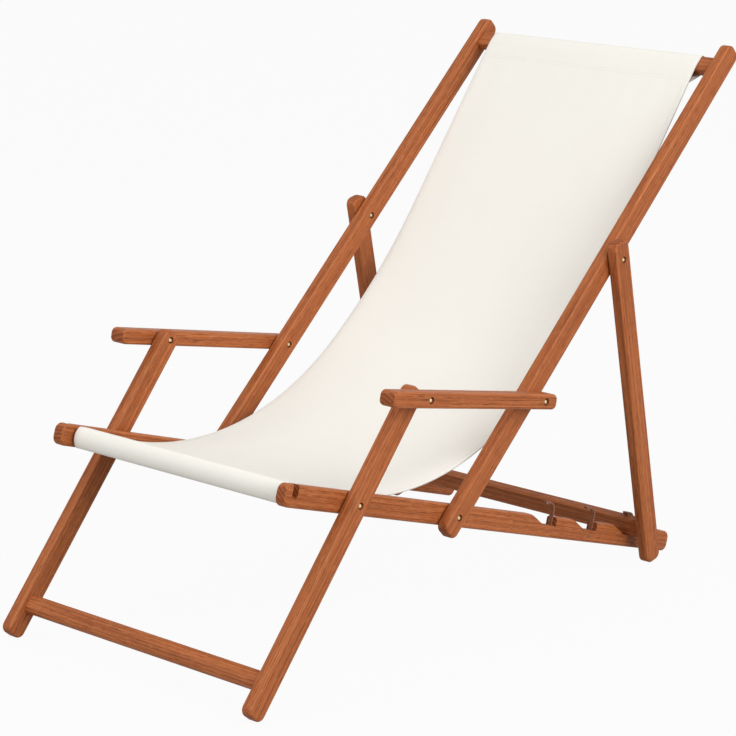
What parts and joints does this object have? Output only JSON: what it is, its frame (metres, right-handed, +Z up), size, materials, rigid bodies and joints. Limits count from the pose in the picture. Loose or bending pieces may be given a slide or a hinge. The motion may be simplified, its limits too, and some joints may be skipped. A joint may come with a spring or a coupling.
{
  "type": "deck chair",
  "caption": "Folding wooden deck chair with armrests, a canvas sling hung between sleeves, and a hinged back held by a strut bar in notches.",
  "frame": {"origin": "on the floor, under the middle of the chair's overall box", "axes": "-Y is the way the sitter faces, +X is the sitter's left, +Z is up"},
  "size_m": [0.59, 1.1604, 0.843],
  "materials": {
    "timber": "reddish-brown stain, satin",
    "canvas": "plain-weave cream canvas",
    "brass": "satin brass",
    "catch": "matt brown",
    "pin": "dull steel",
    "dowel": "plain beech"
  },
  "bodies": {
    "seat_frame": {"seat_rail_left": "timber", "seat_rail_right": "timber", "front_bar": "timber", "front_bar_dowels": "dowel", "front_catch_left": "catch", "front_catch_right": "catch", "middle_catch_left": "catch", "middle_catch_right": "catch", "rear_catch_left": "catch", "rear_catch_right": "catch", "catch_pins": "pin", "leg_pivot_bolts": "brass", "leg_pivot_nuts": "brass", "leg_pivot_washers": "brass", "back_pivot_bolts": "brass", "back_pivot_nuts": "brass", "back_pivot_washers": "brass", "canvas_sling": "canvas"},
    "leg_frame": {"leg_left": "timber", "leg_right": "timber", "leg_cross_bar": "timber", "leg_bar_dowels": "dowel", "armrest_front_pivot_bolts": "brass", "armrest_front_pivot_nuts": "brass", "armrest_front_pivot_washers": "brass"},
    "back_frame": {"back_rail_left": "timber", "back_rail_right": "timber", "top_bar": "timber", "top_bar_dowels": "dowel", "armrest_rear_pivot_bolts": "brass", "armrest_rear_pivot_nuts": "brass", "armrest_rear_pivot_washers": "brass", "strut_pivot_bolts": "brass", "strut_pivot_nuts": "brass", "strut_pivot_washers": "brass"},
    "strut_frame": {"strut_left": "timber", "strut_right": "timber", "strut_cross_bar": "timber", "strut_bar_dowels": "dowel"},
    "left_armrest": {"armrest_left": "timber"},
    "right_armrest": {"armrest_right": "timber"}
  },
  "joints": [
    {"name": "back_recline", "type": "hinge", "parent": "seat_frame", "child": "back_frame", "pos_m": [0, -0.12444, 0.19701], "axis": [1, 0, 0], "range_deg": [0, 16], "deforming": ["canvas_sling", "rear_catch_left", "rear_catch_right"]},
    {"name": "leg_fold", "type": "hinge", "parent": "seat_frame", "child": "leg_frame", "pos_m": [0, -0.34943, 0.26826], "axis": [1, 0, 0], "range_deg": [0, 18.6]},
    {"name": "left_armrest_tilt", "type": "hinge", "parent": "leg_frame", "child": "left_armrest", "pos_m": [0, -0.23095, 0.40774], "axis": [1, 0, 0], "range_deg": [-16.6, 0]},
    {"name": "right_armrest_tilt", "type": "hinge", "parent": "leg_frame", "child": "right_armrest", "pos_m": [0, -0.23095, 0.40774], "axis": [1, 0, 0], "range_deg": [-16.6, 0]},
    {"name": "strut_swing", "type": "hinge", "parent": "back_frame", "child": "strut_frame", "pos_m": [0, 0.24896, 0.53848], "axis": [1, 0, 0], "range_deg": [-16, 0]}
  ],
  "couplings": [
    {"joint": "leg_fold", "follows": "back_recline", "ratio": 1.1595},
    {"joint": "left_armrest_tilt", "follows": "back_recline", "ratio": -1.035},
    {"joint": "right_armrest_tilt", "follows": "back_recline", "ratio": -1.035},
    {"joint": "strut_swing", "follows": "back_recline", "ratio": -1}
  ]
}
